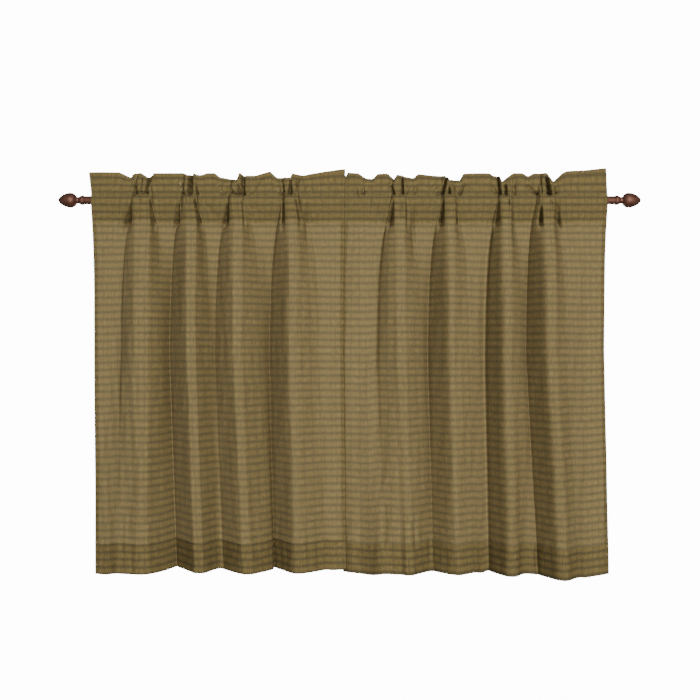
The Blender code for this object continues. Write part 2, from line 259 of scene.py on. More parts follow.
class ClothSettings(bpy.types.PropertyGroup):
    """Sizes and colours of the yarn-dyed cotton."""
    cut_width: FloatProperty(
        name="Cut width", description="Width of one panel before it is gathered",
        default=0.914, unit='LENGTH')
    cut_length: FloatProperty(
        name="Cut length", description="Length of one panel's cloth, with heading and hem",
        default=1.118, unit='LENGTH')
    thickness: FloatProperty(
        name="Thickness", description="Thickness of one layer of cloth",
        default=0.0005, unit='LENGTH')
    layer_gap: FloatProperty(
        name="Layer spacing", description="Between the middles of two layers sewn together",
        default=0.0018, unit='LENGTH')
    side_hem: FloatProperty(
        name="Side hem", description="Width of the hem turned back along each side",
        default=0.010, unit='LENGTH')
    bottom_hem: FloatProperty(
        name="Bottom hem", description="Depth of the hem at the bottom",
        default=0.077, unit='LENGTH')
    weft_repeat: FloatProperty(
        name="Weft repeat", description="Between two dark stripes across the cloth",
        default=0.01635, unit='LENGTH')
    warp_repeat: FloatProperty(
        name="Warp repeat", description="Between two faint stripes down the cloth",
        default=0.0162, unit='LENGTH')
    ground: StringProperty(
        name="Ground colour", description="Olive yarn of the ground", default="#837a50")
    ochre: StringProperty(
        name="Second yarn", description="Ochre yarn that flecks the ground", default="#8d7446")
    stripe: StringProperty(
        name="Stripe colour", description="Slate-green yarn of the stripes", default="#57523d")
    thread: StringProperty(
        name="Sewing thread", description="Colour of the thread", default="#6f6440")
    stitch_pitch: FloatProperty(
        name="Stitch pitch", description="From one stitch to the next",
        default=0.0032, unit='LENGTH')
    stitch_length: FloatProperty(
        name="Stitch length", description="Length of thread that shows",
        default=0.0025, unit='LENGTH')
    thread_thickness: FloatProperty(
        name="Thread thickness", description="Diameter of the sewing thread",
        default=0.0004, unit='LENGTH')
    glow: StringProperty(
        name="Light through it", description="Colour of light that passes the cloth",
        default="#f6ead0")


class MetalSettings(bpy.types.PropertyGroup):
    """Sizes and colours of the rod and its finials."""
    wall: FloatProperty(
        name="Tube wall", description="Wall of the rod's tube", default=0.0012, unit='LENGTH')
    collar: FloatProperty(
        name="Collar radius", description="Bead of the finial against the rod",
        default=0.0112, unit='LENGTH')
    neck: FloatProperty(
        name="Neck radius", description="Between the collar and the acorn",
        default=0.0075, unit='LENGTH')
    acorn: FloatProperty(
        name="Acorn radius", description="At its widest", default=0.0172, unit='LENGTH')
    bronze: StringProperty(
        name="Bronze", description="Colour of the oil-rubbed bronze finish", default="#6c4638")
    worn: StringProperty(
        name="Worn bronze", description="Colour where the finish has been rubbed back",
        default="#8a6353")


class StageSettings(bpy.types.PropertyGroup):
    """Camera, light and floor."""
    distance: FloatProperty(
        name="Camera distance", description="From the rod's plane to the camera",
        default=2.5, unit='LENGTH')
    camera_height: FloatProperty(
        name="Camera height", description="Height of the camera from the rod",
        default=-0.342, unit='LENGTH')
    lens: FloatProperty(
        name="Lens", description="Focal length on a 36 mm sensor", default=56.3)
    floor_drop: FloatProperty(
        name="Floor", description="From the rod down to the floor", default=1.45, unit='LENGTH')


# ---------------------------------------------------------------- the cloth's course

Station = namedtuple("Station", "head rod seam body hem lift low corner")


def fold_stations(fold, corner):
    """The stations of a fold, from the valley on its left to the foot of its right slope."""
    half = fold.half
    brow_y = fold.crest_y + SHOULDER
    flank = -fold.left + FLANK_ACROSS * (fold.left - fold.crest - SHOULDER)
    flank_y = fold.left_y + FLANK_UP * (brow_y - fold.left_y)
    closed = fold.open * (fold.crest_y - fold.left_y)
    # at the head, at the rod, in the body, crest share, depth in the body, depth lost by the hem
    places = (
        (-HEAD_HALF, -half - HOLLOW_GAP, -fold.left, 0.0, fold.left_y, closed),
        (-0.8 * HEAD_HALF, -half - 0.5 * HOLLOW_GAP, flank, 0.45, flank_y, (1.0 - FLANK_UP) * closed),
        (-0.6 * HEAD_HALF, -half, -fold.crest - SHOULDER, 0.90, brow_y, 0.0),
        (-0.2 * HEAD_HALF, -0.5 * half, -0.5 * fold.crest, 1.0, fold.crest_y, 0.0),
        (0.2 * HEAD_HALF, 0.5 * half, 0.5 * fold.crest, 1.0, fold.crest_y, 0.0),
        (0.6 * HEAD_HALF, 0.9 * half, fold.crest + 0.6 * SHOULDER, 0.92,
         fold.crest_y + 0.6 * SHOULDER, 0.0),
        (HEAD_HALF, half + HOLLOW_GAP, fold.right, 0.0, fold.right_y, 0.0),
    )
    stations = []
    for at_head, at_rod, at_body, crest, depth, lost in places:
        stations.append(Station(
            head=(fold.head + at_head, HEAD_WAVE * (0.6 - crest)),
            rod=(fold.rod + at_rod, 0.0),
            seam=(
                fold.rod + at_rod + SEAM_DRIFT * (fold.body + at_body - fold.rod - at_rod),
                SEAM_BACK * (1.0 - crest) - fold.lift * SEAM_LIFT * crest),
            body=(fold.body + at_body, depth),
            hem=(fold.hem + at_body, depth + lost + fold.swing),
            lift=fold.lift * crest,
            low=fold.low,
            corner=0.0,
        ))
    stations[0] = stations[0]._replace(corner=corner)
    return stations


def flat_station(flat):
    return Station(
        head=(flat.head, flat.head_y),
        rod=(flat.rod, flat.rod_y),
        seam=(flat.rod, flat.rod_y + 1.0),
        body=(flat.body, flat.body_y),
        hem=(flat.hem, flat.hem_y),
        lift=0.0,
        low=flat.low,
        corner=0.0,
    )


def panel_stations(rows):
    """All stations of a panel. The valley between two folds is creased, not rounded."""
    stations = []
    for before, row in zip((None, *rows), rows):
        if isinstance(row, Fold):
            stations += fold_stations(row, float(isinstance(before, Fold)))
        else:
            stations.append(flat_station(row))
    return stations


def curve_weights(places, corner):
    """Shares of each numbered value at each fractional place between them.

    They follow a Catmull-Rom curve, which runs straight into a value whose
    corner is 1 and straight out again.
    """
    index = np.clip(places.astype(int), 0, len(corner) - 2)
    u = places - index
    leaving = u - 2.0 * u ** 2 + u ** 3
    arriving = u ** 3 - u ** 2
    start, end = corner[index], corner[index + 1]
    shares = (
        -0.5 * leaving * (1.0 - start),
        1.0 - 3.0 * u ** 2 + 2.0 * u ** 3 - leaving * start - 0.5 * arriving * (1.0 + end),
        3.0 * u ** 2 - 2.0 * u ** 3 + 0.5 * leaving * (1.0 + start) + arriving * end,
        0.5 * arriving * (1.0 - end),
    )
    weights = np.zeros((len(places), len(corner)))
    row = np.arange(len(places))
    for step, share in zip((-1, 0, 1, 2), shares):
        np.add.at(weights, (row, np.clip(index + step, 0, len(corner) - 1)), share)
    return weights


def smoothstep(x, low, high):
    share = np.clip((x - low) / (high - low), 0.0, 1.0)
    return share * share * (3.0 - 2.0 * share)


class Course:
    """A panel's levels, read at any places along it."""

    def __init__(self, rows, places):
        stations = panel_stations(rows)
        weights = curve_weights(places, np.array([s.corner for s in stations]))
        for level in ("head", "rod", "seam", "body", "hem"):
            points = np.array([getattr(s, level) for s in stations], float)
            setattr(self, level, weights @ points)
        self.lift = np.maximum(0.0, weights @ np.array([s.lift for s in stations]))
        self.low = weights @ np.array([s.low for s in stations], float)

    def forward(self, level, share):
        """A level with its crests brought forward by a share of their lift."""
        moved = level.copy()
        moved[:, 1] -= share * self.lift
        return moved


def run_length(points):
    """Distance along a row of points, from its first."""
    steps = np.linalg.norm(np.diff(points, axis=0), axis=1)
    return np.concatenate(([0.0], np.cumsum(steps)))


Column = namedtuple("Column", "place across behind")
SIDE_COLUMNS = 4         # columns of points on each side hem
FINE_STEPS = 3000        # places at which the cloth's own length is measured


def cloth_columns(rows, count, width, side_hem):
    """Places of the columns of points, the turned-back side hems among them.

    across is the distance over the flat cloth, and behind is 1 where the cloth
    is turned to the wrong side and 0.5 on the fold itself.
    """
    last = len(panel_stations(rows)) - 1
    fine = np.linspace(0.0, last, FINE_STEPS)
    course = Course(rows, fine)
    length = run_length(course.body) + run_length(course.forward(course.rod, 1.0))
    length += 0.5 * run_length(course.head)
    face = width - 2.0 * side_hem
    length *= face / length[-1]
    hem = np.linspace(side_hem, 1.0, SIDE_COLUMNS)
    # Half the columns are spread evenly, and half crowd where the cloth is gathered.
    across = np.interp(
        np.linspace(0.0, 1.0, count), 0.5 * length / face + 0.5 * fine / last, length)
    distance = np.concatenate((hem, across, face - hem[::-1]))
    spread = np.concatenate((-hem, across, face + hem[::-1]))
    behind = np.pad(np.zeros(count), SIDE_COLUMNS, constant_values=1.0)
    behind[[SIDE_COLUMNS, -SIDE_COLUMNS - 1]] = 0.5
    place = np.interp(distance, length, fine)
    return Column(place, spread + side_hem, behind)


# ---------------------------------------------------------------- the cloth's surface

# A run of rows down the strip of cloth, from its raw end in the back of the
# pocket, over the top and down the face to the raw end in the back of the hem.
#   name   which part of the cloth
#   side   1 in front, -1 behind, 0 on a fold
#   count  how many rows
Run = namedtuple("Run", "name side count")
RUNS = (
    Run("pocket", -1, 7),
    Run("heading", -1, 6),
    Run("ridge", 0, 3),
    Run("heading", 1, 18),
    Run("pocket", 1, 22),
    Run("body", 1, 48),
    Run("hem", 1, 9),
    Run("bottom", 0, 3),
    Run("hem", -1, 4),
)
FACE_COLUMNS = 404
SIDE_HEM_GAP = 0.6       # between the cloth and the side hem turned behind it
LEAST_STEP = 0.2         # from column to column along X, where a slope is measured
STEEPEST = 2.2           # most that a slope adds to the spacing of two layers
UNEVENNESS = 0.55        # share of the waves in slack() that the hanging cloth takes
SLACK_START = 40         # they begin this far below the rod ...
SLACK_FULL = 160         # ... and are full from here down


def heading_row(course, share, top):
    """Above the rod: share 0 at the stitches, 1 at the top edge."""
    low = course.forward(course.rod, POCKET_ROWS[0].front)
    low[:, 1] += POCKET_ROWS[0].fore
    flat = low + share * (course.head - low)
    full = STITCH_Z + share * (HEADING_Z - STITCH_Z)
    return flat[:, 0], flat[:, 1], full - share ** DIP_FADE * (HEADING_Z - top)


def pocket_row(course, share, side):
    """One layer of the pocket: share 0 at its stitches, 1 at its seam."""
    rings = len(POCKET_ROWS)
    weights = curve_weights(np.array([share * (rings - 1)]), np.zeros(rings))[0]
    z, fore, aft, front, back = weights @ np.array(POCKET_ROWS)
    down = (STITCH_Z - z) / (STITCH_Z - SEAM_Z)
    flat = course.rod + (course.seam - course.rod) * (down, down ** 2)
    if side > 0:
        depth = flat[:, 1] + fore - front * course.lift
    else:
        depth = flat[:, 1] + aft - back * course.lift
    return flat[:, 0], depth, np.full(len(depth), z)


def hanging_row(course, z):
    """Below the seam, the gathers open into folds, which drift towards the hem."""
    seam = course.forward(course.seam, POCKET_ROWS[-1].front)
    opened = 1.0 - np.exp((z - SEAM_Z) / OPENING_LENGTH)
    fallen = np.maximum(0.0, (BODY_Z - z) / (BODY_Z - course.low))
    body = course.body + fallen[:, None] * (course.hem - course.body)
    flat = seam + opened[:, None] * (body - seam)
    return flat[:, 0], flat[:, 1], z


def strip_rows(course, top, hem_depth):
    """Every row of the strip: the run that it belongs to, and the x, y and z of its points."""
    rows = []
    for run in RUNS:
        for number in range(run.count):
            share = (number + 0.5) / run.count
            if run.side < 0:
                share = 1.0 - share
            if run.name == "heading":
                row = heading_row(course, 1.0 - share, top)
            elif run.name == "ridge":
                row = heading_row(course, 1.0, top)
            elif run.name == "pocket":
                row = pocket_row(course, share, run.side)
            elif run.name == "body":
                row = hanging_row(course, SEAM_Z + share * (course.low + hem_depth - SEAM_Z))
            elif run.name == "hem":
                row = hanging_row(course, course.low + (1.0 - share) * hem_depth)
            else:
                row = hanging_row(course, course.low)
            rows.append((run, *row))
    return rows


def crease_depth(creases, x, z):
    """How far the creases push each point back. Sewn lines end the creases above them."""
    pushed = np.zeros_like(x)
    for crease in creases:
        dx = crease.to_x - crease.x
        dz = crease.to_z - crease.z
        along = ((x - crease.x) * dx + (z - crease.z) * dz) / (dx * dx + dz * dz)
        along = np.clip(along, 0.0, 1.0)
        away = np.hypot(x - crease.x - along * dx, z - crease.z - along * dz)
        half = CREASE_SPREAD * (crease.half + along * (crease.to_half - crease.half))
        wall = 1.0 - away / half
        steep = CREASE_STEEPNESS * crease.steep
        trough = 0.5 * steep * half * (wall + np.hypot(wall, ROUNDING))
        lowest = min(crease.z, crease.to_z)
        held_at = next(line for line in HOLDING_LINES if lowest > line - 2.0 * CREASE_FADE)
        pushed += trough * np.exp(np.minimum(0.0, z - held_at) / CREASE_FADE)
    return pushed


def slack(x, z, seed):
    """Slight unevenness of hanging cloth, long down the folds and short across them."""
    random = np.random.default_rng(seed)
    moved = np.zeros_like(x)
    # amplitude, wavelength across, wavelength down
    for size, wide, tall in ((0.9, 90, 420), (0.7, 55, 260), (0.35, 26, 150), (0.2, 15, 60)):
        for _ in range(5):
            turn = random.uniform(0, 2 * math.pi)
            lean = random.uniform(-1, 1)
            stretch = random.uniform(0.8, 1.3)
            moved += UNEVENNESS * size * np.sin(
                2 * math.pi * stretch * (x / wide + lean * z / tall) + turn)
    return moved


def pressed_back(strip, creases, seed):
    """The rows' x, y and z once the creases and the cloth's unevenness have moved them."""
    x, y, z = np.array([row[1:] for row in strip]).transpose(1, 0, 2)
    pushed = crease_depth(creases, x, z)
    pushed += slack(x, z, seed) * smoothstep(-z, SLACK_START, SLACK_FULL)
    front, back = (
        np.array([[run.name == "pocket" and run.side == side] for run, *_ in strip])
        for side in (1, -1))
    # At the rod's height the pocket's back layer takes half of a crease's depth.
    beside_rod = 0.5 + 0.5 * np.maximum(smoothstep(z, 4.0, STITCH_Z), smoothstep(-z, 4.0, 14.0))
    y += pushed * np.where(back, beside_rod, 1.0)
    # The front layer keeps clear of the rod.
    clear = np.sqrt(np.maximum(0.0, ROD_CLEAR ** 2 - z ** 2))
    return x, np.where(front & (clear > 0), np.minimum(y, -clear), y), z


def layer_offsets(strip, half):
    """How far forwards and up each row lies, on its layer or round the half circle of a fold."""
    forward, up = np.zeros((2, len(strip)))
    turned = 0
    for index, (run, *_) in enumerate(strip):
        if run.side:
            turned = 0
            if run.name != "body":
                forward[index] = run.side * half
            continue
        turned += 1
        turn = math.pi * turned / (run.count + 1)
        way = -1 if run.name == "ridge" else 1
        forward[index] = way * math.cos(turn) * half
        up[index] = -way * math.sin(turn) * half
    return forward, up


def panel_points(rows, top_edge, creases, settings, seed):
    """All points of a panel, a row of the strip in each row, with their cloth coordinates."""
    columns = cloth_columns(
        rows, FACE_COLUMNS, settings.cut_width / MM, settings.side_hem / MM)
    course = Course(rows, columns.place)
    half = settings.layer_gap / MM / 2
    top = np.interp(course.head[:, 0], *zip(*top_edge)) - half
    strip = strip_rows(course, top, settings.bottom_hem / MM)
    x, y, z = pressed_back(strip, creases, seed)
    # Two layers sewn together lie apart by their spacing, measured square to the cloth.
    slope = np.gradient(y, axis=1) / np.maximum(LEAST_STEP, np.abs(np.gradient(x, axis=1)))
    steep = np.minimum(STEEPEST, np.sqrt(1.0 + slope ** 2))
    forward, up = layer_offsets(strip, half)
    wrong = np.array([1.0 if run.side >= 0 else -1.0 for run, *_ in strip])
    y -= forward[:, None] * steep
    y += wrong[:, None] * columns.behind * SIDE_HEM_GAP * steep
    z += up[:, None]
    points = np.stack((x, y, z), axis=2) * MM
    # The cloth's length down the strip, from the seam at the top of the body.
    steps = np.linalg.norm(np.diff(points, axis=0), axis=2)
    down = np.concatenate(([0.0], np.cumsum(np.median(steps, axis=1))))
    first_body = next(i for i, (run, *_) in enumerate(strip) if run.name == "body")
    down -= 0.5 * (down[first_body] + down[first_body - 1])
    return points, columns.across * MM, down, strip


# ---------------------------------------------------------------- making objects

def deselect():
    if bpy.context.object and bpy.context.object.mode != 'OBJECT':
        bpy.ops.object.mode_set(mode='OBJECT')
    bpy.ops.object.select_all(action='DESELECT')


def select_only(piece):
    deselect()
    piece.select_set(True)
    bpy.context.view_layer.objects.active = piece


def finish_piece(piece, name, material, node=None):
    """Name a piece, give it its finish and let it ride on the frame."""
    piece.name = name
    piece.data.name = name
    piece.data.materials.clear()
    piece.data.materials.append(material)
    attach(piece, "root")
    if node:
        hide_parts(node)
    return piece


def cloth_grid(points, across, down):
    """A grid primitive whose points are laid on the cloth, with the cloth's own UV map."""
    row_count, column_count = points.shape[:2]
    deselect()
    bpy.ops.mesh.primitive_grid_add(
        x_subdivisions=column_count - 1, y_subdivisions=row_count - 1, size=1.0)
    piece = bpy.context.object
    mesh = piece.data
    count = len(mesh.vertices)
    flat = np.zeros(count * 3)
    mesh.vertices.foreach_get("co", flat)
    flat = flat.reshape(-1, 3)
    column = np.rint((flat[:, 0] + 0.5) * (column_count - 1)).astype(int)
    row = np.rint((0.5 - flat[:, 1]) * (row_count - 1)).astype(int)
    mesh.vertices.foreach_set("co", points[row, column].ravel())
    uv = mesh.uv_layers.active or mesh.uv_layers.new(name="cloth")
    uv.name = "cloth"
    corner = np.zeros(len(mesh.loops), int)
    mesh.loops.foreach_get("vertex_index", corner)
    cloth = np.stack((across[column], down[row]), axis=1)
    uv.data.foreach_set("uv", cloth[corner].ravel())
    mesh.update()
    return piece


def apply_modifier(piece, kind, name, **values):
    modifier = piece.modifiers.new(name, kind)
    for key, value in values.items():
        setattr(modifier, key, value)
    bpy.context.view_layer.objects.active = piece
    bpy.ops.object.modifier_apply(modifier=modifier.name)


def shade_smooth(piece):
    select_only(piece)
    bpy.ops.object.shade_smooth()
    piece.select_set(False)


def edit(piece, mode):
    """Enter edit mode on a piece with all of its vertices, edges or faces selected."""
    select_only(piece)
    bpy.ops.object.mode_set(mode='EDIT')
    bpy.ops.mesh.select_mode(type=mode)
    bpy.ops.mesh.select_all(action='SELECT')


def pick_faces(piece, wanted):
    """Back in edit mode with only those faces selected for which wanted(face) is true."""
    bpy.ops.mesh.select_all(action='DESELECT')
    bpy.ops.object.mode_set(mode='OBJECT')
    for face in piece.data.polygons:
        face.select = wanted(face)
    bpy.ops.object.mode_set(mode='EDIT')


# ---------------------------------------------------------------- rod and finials

ROD_SIDES = 64
BORE_DEPTH = 0.020       # how far into the tube its bore is drawn
RIM_ROUNDING = 0.0003


def round_bar(sides, radius, length):
    """A cylinder along X, in edit mode."""
    deselect()
    bpy.ops.mesh.primitive_cylinder_add(
        vertices=sides, radius=radius, depth=length, rotation=(0.0, math.radians(90), 0.0))
    piece = bpy.context.object
    bpy.ops.object.transform_apply(location=True, rotation=True, scale=True)
    edit(piece, 'FACE')
    return piece


def tube(radius, length, wall):
    """A round tube along X, its ends bored and their rims rounded."""
    piece = round_bar(ROD_SIDES, radius, length)
    for side in (-1, 1):
        pick_faces(piece, lambda face: side * face.normal.x > 0.9)
        bpy.ops.mesh.inset(thickness=wall)
        bpy.ops.mesh.extrude_region_move(
            TRANSFORM_OT_translate={"value": (-side * BORE_DEPTH, 0.0, 0.0)})
    bpy.ops.object.mode_set(mode='OBJECT')
    apply_modifier(
        piece, 'BEVEL', "rims", width=RIM_ROUNDING, segments=2,
        limit_method='ANGLE', angle_limit=math.radians(60))
    bpy.ops.object.shade_smooth_by_angle(angle=math.radians(40))
    return piece


# Along the finial, from the rod's end.
NECK_END = 0.016         # where the acorn starts
WIDEST = 0.031           # where the acorn is widest
TIP_STEPS = 14           # points of the outline from its tip to there
BACK_STEPS = 8           # and from there back to the neck
TIP_TAPER = 1.7          # how late the acorn narrows towards its tip ...
TIP_ROUNDNESS = 0.62     # ... and how pointed it ends
SPIGOT_RADIUS = 0.0080


def finial_outline(settings, tip, spigot):
    """Distance from the rod's end and radius, from the acorn's tip in to the spigot."""
    outline = [(tip, 0.0)]
    for step in range(1, TIP_STEPS + 1):
        share = math.cos(math.radians(90) * step / TIP_STEPS)
        radius = settings.acorn * (1.0 - share ** TIP_TAPER) ** TIP_ROUNDNESS
        outline.append((WIDEST + (tip - WIDEST) * share, radius))
    back = WIDEST - NECK_END
    for step in range(1, BACK_STEPS + 1):
        share = math.sin(math.radians(90) * step / BACK_STEPS)
        full = share * back / (back + 0.001)
        outline.append((
            WIDEST - back * share,
            max(settings.neck, settings.acorn * math.sqrt(1.0 - full ** 2))))
    # the neck, the collar that swells from it to its bead, and the spigot
    bead = settings.collar
    outline += [
        (0.0150, settings.neck), (0.0136, settings.neck), (0.0122, 0.0072),
        (0.0106, 0.0086), (0.0084, 0.0098), (0.0064, 0.0106), (0.0050, bead - 0.0001),
        (0.0042, bead), (0.0022, bead), (0.0012, bead - 0.0003), (0.0003, bead - 0.0011),
        (0.0003, SPIGOT_RADIUS), (-spigot, SPIGOT_RADIUS), (-spigot, 0.0),
    ]
    return outline


def turned_piece(outline):
    """An outline drawn from its first point to its last, then spun round the rod's axis."""
    deselect()
    bpy.ops.mesh.primitive_plane_add(size=0.001, location=(0.0, 0.0, 0.0))
    piece = bpy.context.object
    edit(piece, 'VERT')
    bpy.ops.mesh.merge(type='CENTER')
    x, radius = outline[0]
    bpy.ops.transform.translate(value=(x, 0.0, radius))
    for next_x, next_radius in outline[1:]:
        bpy.ops.mesh.extrude_region_move(
            TRANSFORM_OT_translate={"value": (next_x - x, 0.0, next_radius - radius)})
        x, radius = next_x, next_radius
    bpy.ops.mesh.select_all(action='SELECT')
    bpy.ops.mesh.spin(
        steps=ROD_SIDES, angle=math.radians(360), center=(0.0, 0.0, 0.0), axis=(1.0, 0.0, 0.0))
    bpy.ops.mesh.select_all(action='SELECT')
    bpy.ops.mesh.remove_doubles(threshold=0.000005)
    bpy.ops.mesh.normals_make_consistent(inside=False)
    bpy.ops.object.mode_set(mode='OBJECT')
    bpy.ops.object.shade_smooth_by_angle(angle=math.radians(40))
    return piece


# ---------------------------------------------------------------- stitching

SIDE_STITCH = 8.5        # from a panel's side to the stitches that hold its side hem
SEWN_ACROSS = ("pocket", "body", "hem")     # parts of the face with stitches along their top
SUNK = 0.00005           # how far the thread sinks into the cloth


def sewn_lines(points, across, strip, settings):
    """Where thread shows on the face: over and under the pocket, at the hem, at the sides."""
    parts = [(run.name, run.side) for run, *_ in strip]
    face = slice(parts.index(("heading", 1)), len(parts) - 1 - parts[::-1].index(("hem", 1)))
    lines = []
    for name in SEWN_ACROSS:
        row = parts.index((name, 1))
        lines.append(0.5 * (points[row - 1] + points[row]))
    for place in (SIDE_STITCH * MM, settings.cut_width - SIDE_STITCH * MM):
        first = np.searchsorted(across[SIDE_COLUMNS + 1:-SIDE_COLUMNS - 1], place) + SIDE_COLUMNS
        share = (place - across[first]) / (across[first + 1] - across[first])
        lines.append(points[face, first] * (1.0 - share) + points[face, first + 1] * share)
    return lines


def sewing_guide(line, number, settings):
    """A curve that lies on the cloth along one sewn line, for its stitches to follow."""
    path = bpy.data.curves.new(f"sewn_line_{number}", 'CURVE')
    path.dimensions = '3D'
    spline = path.splines.new('POLY')
    spline.points.add(len(line) - 1)
    along = np.gradient(line, axis=0)
    # Square to the line and towards the room, which is where the thread lies.
    out = np.cross(along, (0.0, 0.0, 1.0) if number < len(SEWN_ACROSS) else (-1.0, 0.0, 0.0))
    out /= np.linalg.norm(out, axis=1)[:, None]
    out *= -np.sign(out[:, 1:2])
    raised = 0.5 * (settings.thickness + settings.thread_thickness) - SUNK
    placed = np.hstack((line + out * raised, np.ones((len(line), 1))))
    spline.points.foreach_set("co", placed.ravel())
    guide = bpy.data.objects.new(path.name, path)
    bpy.context.scene.collection.objects.link(guide)
    return guide


def stitch_row(guide, settings):
    """Stitches with drawn-in ends, one behind the other along a guide."""
    stitch = round_bar(6, 0.5 * settings.thread_thickness, settings.stitch_length)
    for side in (-1, 1):
        pick_faces(stitch, lambda face: side * face.normal.x > 0.9)
        bpy.ops.mesh.inset(thickness=0.2 * settings.thread_thickness)
        bpy.ops.transform.translate(value=(side * 0.4 * settings.thread_thickness, 0.0, 0.0))
    bpy.ops.object.mode_set(mode='OBJECT')
    apply_modifier(
        stitch, 'ARRAY', "row of stitches", fit_type='FIT_CURVE', curve=guide,
        use_relative_offset=False, use_constant_offset=True,
        constant_offset_displace=(settings.stitch_pitch, 0.0, 0.0))
    apply_modifier(stitch, 'CURVE', "along the seam", object=guide, deform_axis='POS_X')
    shade_smooth(stitch)
    return stitch


def sew_panel(points, across, strip, settings):
    """Lockstitches laid along every sewn line of a panel, as one piece."""
    rows = []
    for number, line in enumerate(sewn_lines(points, across, strip, settings)):
        guide = sewing_guide(line, number, settings)
        rows.append(stitch_row(guide, settings))
        bpy.data.curves.remove(guide.data)
    deselect()
    for stitch in rows:
        stitch.select_set(True)
    bpy.context.view_layer.objects.active = rows[0]
    bpy.ops.object.join()
    return bpy.context.object


# ---------------------------------------------------------------- node helper

def add_node(tree, kind, values=(), **settings):
    """Add one shader node with its options, and its inputs in order, or by name or number.

    An input is a number, a colour, a socket, or a node whose first output is meant.
    """
    node = tree.nodes.new('ShaderNode' + kind)
    for key, value in settings.items():
        setattr(node, key, value)
    inputs = values if isinstance(values, dict) else dict(enumerate(values))
    for socket, value in inputs.items():
        if isinstance(value, bpy.types.Node):
            value = value.outputs[0]
        if isinstance(value, bpy.types.NodeSocket):
            tree.links.new(value, node.inputs[socket])
        else:
            node.inputs[socket].default_value = value
    return node


def new_material(name):
    material = bpy.data.materials.new(name)
    material.use_nodes = True
    tree = material.node_tree
    tree.nodes.clear()
    return material, tree


# ---------------------------------------------------------------- materials

FIRST_STRIPE = 14.9      # from the seam down to the first dark stripe
WARP_STRIPE = 4.0        # from a panel's side to its first faint stripe
STRIPE_CORE = 0.4        # half the width over which a stripe is darkest
WEFT_EDGE = 5.8          # from a stripe's middle to where it has faded out, across the cloth
WARP_EDGE = 2.2          # the same for the faint stripes down the cloth
YARN_PITCH = 1.1         # the real yarns lie 0.5 mm apart; drawn coarser so that they show
SEEN_THROUGH = 0.36      # share of the light on the cloth that passes it

# Uneven yarn and dye: noise with a grain of so many millimetres across and down the cloth.
Fleck = namedtuple("Fleck", "across down detail roughness")
FLECKS = (
    Fleck(11.0, 2.6, 3.0, 0.6),      # along the weft
    Fleck(3.4, 21.0, 2.0, 0.6),      # along the warp
    Fleck(9.0, 8.0, 1.0, 0.4),       # patches of dye
    Fleck(22.0, 16.0, 2.0, 0.5),     # how the stripes wander
)


def stripe_share(tree, coordinate, repeat, offset, outer, wander):
    """1 on a stripe's middle and 0 away from it, with soft edges; lengths in millimetres."""
    place = add_node(tree, 'Math', (coordinate, wander), operation='ADD')
    moved = add_node(tree, 'Math', (place, repeat / 2 - offset), operation='ADD')
    wrapped = add_node(tree, 'Math', (moved, repeat), operation='FLOORED_MODULO')
    centred = add_node(tree, 'Math', (wrapped, repeat / 2), operation='SUBTRACT')
    distance = add_node(tree, 'Math', (centred,), operation='ABSOLUTE')
    return add_node(
        tree, 'MapRange', (distance, STRIPE_CORE, outer, 1.0, 0.0),
        interpolation_type='SMOOTHSTEP')


def cotton_colour(tree, across, down, flecks, settings):
    """Olive and ochre yarns with darker slate stripes both ways, nowhere quite even."""
    weft_fleck, warp_fleck, patch, drift = flecks
    # Each turns noise between its first two numbers into its last two.
    ochre_share = add_node(tree, 'MapRange', (weft_fleck, 0.32, 0.70, 0.0, 1.0))
    warp_shade = add_node(tree, 'MapRange', (warp_fleck, 0.3, 0.7, 0.82, 1.17))
    patch_shade = add_node(tree, 'MapRange', (patch, 0.3, 0.7, 0.88, 1.10))
    wander = add_node(tree, 'MapRange', (drift, 0.3, 0.7, -0.35, 0.35))
    weft_depth = add_node(tree, 'MapRange', (warp_fleck, 0.3, 0.7, 0.60, 0.80))
    warp_depth = add_node(tree, 'MapRange', (weft_fleck, 0.3, 0.7, 0.26, 0.50))
    ground = add_node(
        tree, 'Mix',
        {0: ochre_share, 6: linear(settings.ground), 7: linear(settings.ochre)},
        data_type='RGBA').outputs[2]
    shade = add_node(tree, 'Math', (warp_shade, patch_shade), operation='MULTIPLY')
    colour = add_node(
        tree, 'Mix', {0: 1.0, 6: ground, 7: shade},
        data_type='RGBA', blend_type='MULTIPLY').outputs[2]
    # The faint stripes down the cloth first, then the dark ones that cross them.
    for coordinate, repeat, offset, outer, depth in (
            (across, settings.warp_repeat, WARP_STRIPE, WARP_EDGE, warp_depth),
            (down, settings.weft_repeat, FIRST_STRIPE, WEFT_EDGE, weft_depth)):
        stripe = stripe_share(tree, coordinate, repeat / MM, offset, outer, wander)
        share = add_node(tree, 'Math', (stripe, depth), operation='MULTIPLY')
        colour = add_node(
            tree, 'Mix', {0: share, 6: colour, 7: linear(settings.stripe)},
            data_type='RGBA').outputs[2]
    return colour


